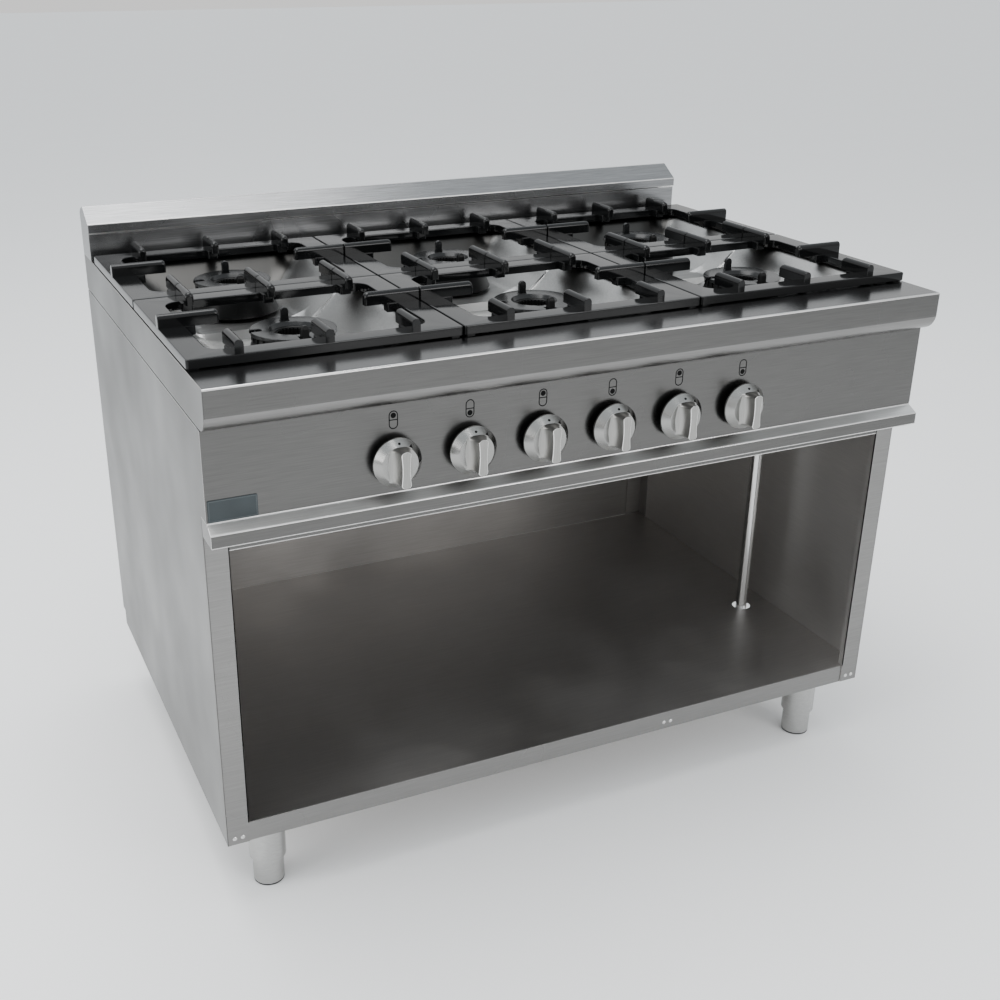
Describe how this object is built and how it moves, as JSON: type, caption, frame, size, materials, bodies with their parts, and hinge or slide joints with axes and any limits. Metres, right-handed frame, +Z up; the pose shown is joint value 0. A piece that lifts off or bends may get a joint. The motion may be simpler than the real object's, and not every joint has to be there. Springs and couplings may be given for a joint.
{
  "type": "commercial gas range",
  "caption": "Restaurant gas range with open ring burners, lift-off cast grates, turning gas knobs, a splashback and an open storage cabinet on adjustable legs.",
  "frame": {"origin": "on the floor, under the middle of the whole object's box", "axes": "+Z up, -Y towards the cook at the front, +X to the right seen from the front"},
  "size_m": [1.2, 0.857, 0.961],
  "materials": {
    "brushed_steel": "fine horizontal brush, satin",
    "inner_steel": "plain mill finish",
    "black_enamel": "glossy vitreous enamel on cast iron",
    "burner_casting": "black burner casting",
    "satin_nickel": "satin nickel plating",
    "stem_steel": "turned steel",
    "fitting_brass": "machined brass",
    "pipe_steel": "galvanised tube",
    "leg_steel": "polished stainless tube",
    "badge_black": "blank black plate with a plain frame"
  },
  "bodies": {
    "cabinet": {"back_panel": "inner_steel", "badge_plate": "badge_black", "burner_front_left": "burner_casting", "burner_front_middle": "burner_casting", "burner_front_right": "burner_casting", "burner_rear_left": "burner_casting", "burner_rear_middle": "burner_casting", "burner_rear_right": "burner_casting", "cabinet_floor": "inner_steel", "control_panel": "brushed_steel", "front_cross_rail": "brushed_steel", "gas_inlet": "fitting_brass", "gas_manifold": "pipe_steel", "gas_tap_1": "fitting_brass", "gas_tap_2": "fitting_brass", "gas_tap_3": "fitting_brass", "gas_tap_4": "fitting_brass", "gas_tap_5": "fitting_brass", "gas_tap_6": "fitting_brass", "leg_tube_front_left": "leg_steel", "leg_tube_front_right": "leg_steel", "leg_tube_rear_left": "leg_steel", "leg_tube_rear_right": "leg_steel", "manifold_elbow": "fitting_brass", "rear_bracket_left": "inner_steel", "rear_bracket_right": "inner_steel", "side_panel_left": "brushed_steel", "side_panel_right": "brushed_steel", "splashback": "brushed_steel", "supply_pipe": "pipe_steel", "worktop": "brushed_steel"},
    "stem_1": {"tap_stem_1": "stem_steel"},
    "knob_1": {"knob_1": "satin_nickel"},
    "stem_2": {"tap_stem_2": "stem_steel"},
    "knob_2": {"knob_2": "satin_nickel"},
    "stem_3": {"tap_stem_3": "stem_steel"},
    "knob_3": {"knob_3": "satin_nickel"},
    "stem_4": {"tap_stem_4": "stem_steel"},
    "knob_4": {"knob_4": "satin_nickel"},
    "stem_5": {"tap_stem_5": "stem_steel"},
    "knob_5": {"knob_5": "satin_nickel"},
    "stem_6": {"tap_stem_6": "stem_steel"},
    "knob_6": {"knob_6": "satin_nickel"},
    "cap_front_left": {"burner_cap_front_left": "black_enamel"},
    "grate_front_left": {"grate_front_left": "black_enamel"},
    "cap_front_middle": {"burner_cap_front_middle": "black_enamel"},
    "grate_front_middle": {"grate_front_middle": "black_enamel"},
    "cap_front_right": {"burner_cap_front_right": "black_enamel"},
    "grate_front_right": {"grate_front_right": "black_enamel"},
    "cap_rear_left": {"burner_cap_rear_left": "black_enamel"},
    "grate_rear_left": {"grate_rear_left": "black_enamel"},
    "cap_rear_middle": {"burner_cap_rear_middle": "black_enamel"},
    "grate_rear_middle": {"grate_rear_middle": "black_enamel"},
    "cap_rear_right": {"burner_cap_rear_right": "black_enamel"},
    "grate_rear_right": {"grate_rear_right": "black_enamel"},
    "foot_front_left": {"leg_foot_front_left": "leg_steel"},
    "foot_front_right": {"leg_foot_front_right": "leg_steel"},
    "foot_rear_left": {"leg_foot_rear_left": "leg_steel"},
    "foot_rear_right": {"leg_foot_rear_right": "leg_steel"}
  },
  "joints": [
    {"name": "knob_1_push", "type": "slide", "parent": "cabinet", "child": "stem_1", "axis": [0, 1, 0], "range_m": [0, 0.004], "stiffness_N_per_m": 3000, "springref_m": -0.002},
    {"name": "knob_1_turn", "type": "hinge", "parent": "stem_1", "child": "knob_1", "pos_m": [-0.331, -0.4065, 0.724], "axis": [0, -1, 0], "range_deg": [0, 150]},
    {"name": "knob_2_push", "type": "slide", "parent": "cabinet", "child": "stem_2", "axis": [0, 1, 0], "range_m": [0, 0.004], "stiffness_N_per_m": 3000, "springref_m": -0.002},
    {"name": "knob_2_turn", "type": "hinge", "parent": "stem_2", "child": "knob_2", "pos_m": [-0.2148, -0.4065, 0.724], "axis": [0, -1, 0], "range_deg": [0, 150]},
    {"name": "knob_3_push", "type": "slide", "parent": "cabinet", "child": "stem_3", "axis": [0, 1, 0], "range_m": [0, 0.004], "stiffness_N_per_m": 3000, "springref_m": -0.002},
    {"name": "knob_3_turn", "type": "hinge", "parent": "stem_3", "child": "knob_3", "pos_m": [-0.0986, -0.4065, 0.724], "axis": [0, -1, 0], "range_deg": [0, 150]},
    {"name": "knob_4_push", "type": "slide", "parent": "cabinet", "child": "stem_4", "axis": [0, 1, 0], "range_m": [0, 0.004], "stiffness_N_per_m": 3000, "springref_m": -0.002},
    {"name": "knob_4_turn", "type": "hinge", "parent": "stem_4", "child": "knob_4", "pos_m": [0.0176, -0.4065, 0.724], "axis": [0, -1, 0], "range_deg": [0, 150]},
    {"name": "knob_5_push", "type": "slide", "parent": "cabinet", "child": "stem_5", "axis": [0, 1, 0], "range_m": [0, 0.004], "stiffness_N_per_m": 3000, "springref_m": -0.002},
    {"name": "knob_5_turn", "type": "hinge", "parent": "stem_5", "child": "knob_5", "pos_m": [0.1338, -0.4065, 0.724], "axis": [0, -1, 0], "range_deg": [0, 150]},
    {"name": "knob_6_push", "type": "slide", "parent": "cabinet", "child": "stem_6", "axis": [0, 1, 0], "range_m": [0, 0.004], "stiffness_N_per_m": 3000, "springref_m": -0.002},
    {"name": "knob_6_turn", "type": "hinge", "parent": "stem_6", "child": "knob_6", "pos_m": [0.25, -0.4065, 0.724], "axis": [0, -1, 0], "range_deg": [0, 150]},
    {"name": "cap_front_left_lift", "type": "slide", "parent": "cabinet", "child": "cap_front_left", "axis": [0, 0, 1], "range_m": [0, 0.06]},
    {"name": "grate_front_left_lift", "type": "slide", "parent": "cabinet", "child": "grate_front_left", "axis": [0, 0, 1], "range_m": [0, 0.12]},
    {"name": "cap_front_middle_lift", "type": "slide", "parent": "cabinet", "child": "cap_front_middle", "axis": [0, 0, 1], "range_m": [0, 0.06]},
    {"name": "grate_front_middle_lift", "type": "slide", "parent": "cabinet", "child": "grate_front_middle", "axis": [0, 0, 1], "range_m": [0, 0.12]},
    {"name": "cap_front_right_lift", "type": "slide", "parent": "cabinet", "child": "cap_front_right", "axis": [0, 0, 1], "range_m": [0, 0.06]},
    {"name": "grate_front_right_lift", "type": "slide", "parent": "cabinet", "child": "grate_front_right", "axis": [0, 0, 1], "range_m": [0, 0.12]},
    {"name": "cap_rear_left_lift", "type": "slide", "parent": "cabinet", "child": "cap_rear_left", "axis": [0, 0, 1], "range_m": [0, 0.06]},
    {"name": "grate_rear_left_lift", "type": "slide", "parent": "cabinet", "child": "grate_rear_left", "axis": [0, 0, 1], "range_m": [0, 0.12]},
    {"name": "cap_rear_middle_lift", "type": "slide", "parent": "cabinet", "child": "cap_rear_middle", "axis": [0, 0, 1], "range_m": [0, 0.06]},
    {"name": "grate_rear_middle_lift", "type": "slide", "parent": "cabinet", "child": "grate_rear_middle", "axis": [0, 0, 1], "range_m": [0, 0.12]},
    {"name": "cap_rear_right_lift", "type": "slide", "parent": "cabinet", "child": "cap_rear_right", "axis": [0, 0, 1], "range_m": [0, 0.06]},
    {"name": "grate_rear_right_lift", "type": "slide", "parent": "cabinet", "child": "grate_rear_right", "axis": [0, 0, 1], "range_m": [0, 0.12]},
    {"name": "foot_front_left_screw", "type": "slide", "parent": "cabinet", "child": "foot_front_left", "axis": [0, 0, -1], "range_m": [0, 0.03]},
    {"name": "foot_front_right_screw", "type": "slide", "parent": "cabinet", "child": "foot_front_right", "axis": [0, 0, -1], "range_m": [0, 0.03]},
    {"name": "foot_rear_left_screw", "type": "slide", "parent": "cabinet", "child": "foot_rear_left", "axis": [0, 0, -1], "range_m": [0, 0.03]},
    {"name": "foot_rear_right_screw", "type": "slide", "parent": "cabinet", "child": "foot_rear_right", "axis": [0, 0, -1], "range_m": [0, 0.03]}
  ]
}
